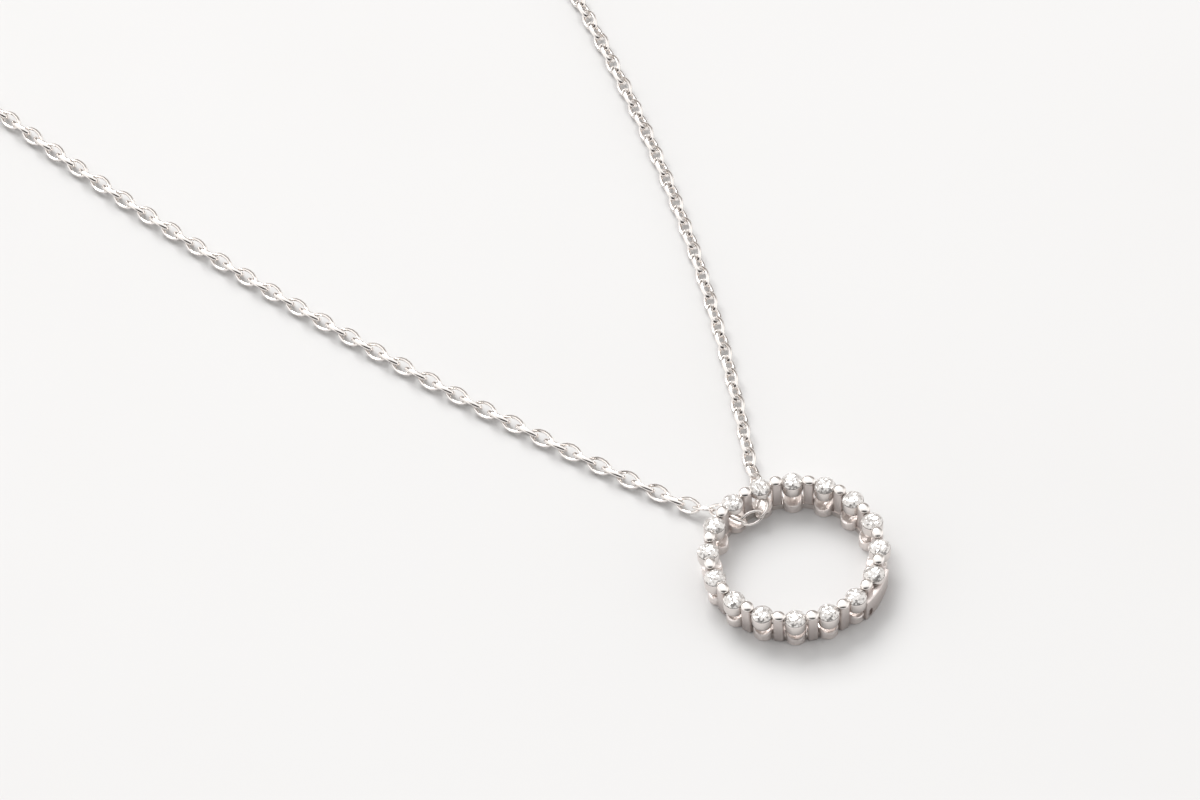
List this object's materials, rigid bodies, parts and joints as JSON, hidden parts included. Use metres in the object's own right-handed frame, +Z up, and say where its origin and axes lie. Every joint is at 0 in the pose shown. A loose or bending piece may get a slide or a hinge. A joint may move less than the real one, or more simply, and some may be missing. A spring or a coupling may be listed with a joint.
{
  "type": "necklace",
  "caption": "Open circle pendant of round stones with beaded posts between them, on a fine cable chain threaded through its rim and closed by a round clasp.",
  "frame": {"origin": "under the middle of the whole necklace's bounding box, on the surface that it lies on", "axes": "+Y from the pendant towards the clasp, +Z up, away from the surface"},
  "size_m": [0.053, 0.199, 0.0029],
  "materials": {
    "white_metal": "polished, with satin post faces",
    "clear_stone": "faceted and polished"
  },
  "bodies": {
    "root": {"ring_frame": "white_metal", "chain_front": "white_metal", "chain_back": "white_metal", "end_ring_left": "white_metal", "end_ring_right": "white_metal", "clasp": "white_metal", "stone_01": "clear_stone", "stone_02": "clear_stone", "stone_03": "clear_stone", "stone_04": "clear_stone", "stone_05": "clear_stone", "stone_06": "clear_stone", "stone_07": "clear_stone", "stone_08": "clear_stone", "stone_09": "clear_stone", "stone_10": "clear_stone", "stone_11": "clear_stone", "stone_12": "clear_stone", "stone_13": "clear_stone", "stone_14": "clear_stone", "stone_15": "clear_stone", "stone_16": "clear_stone"}
  },
  "joints": []
}
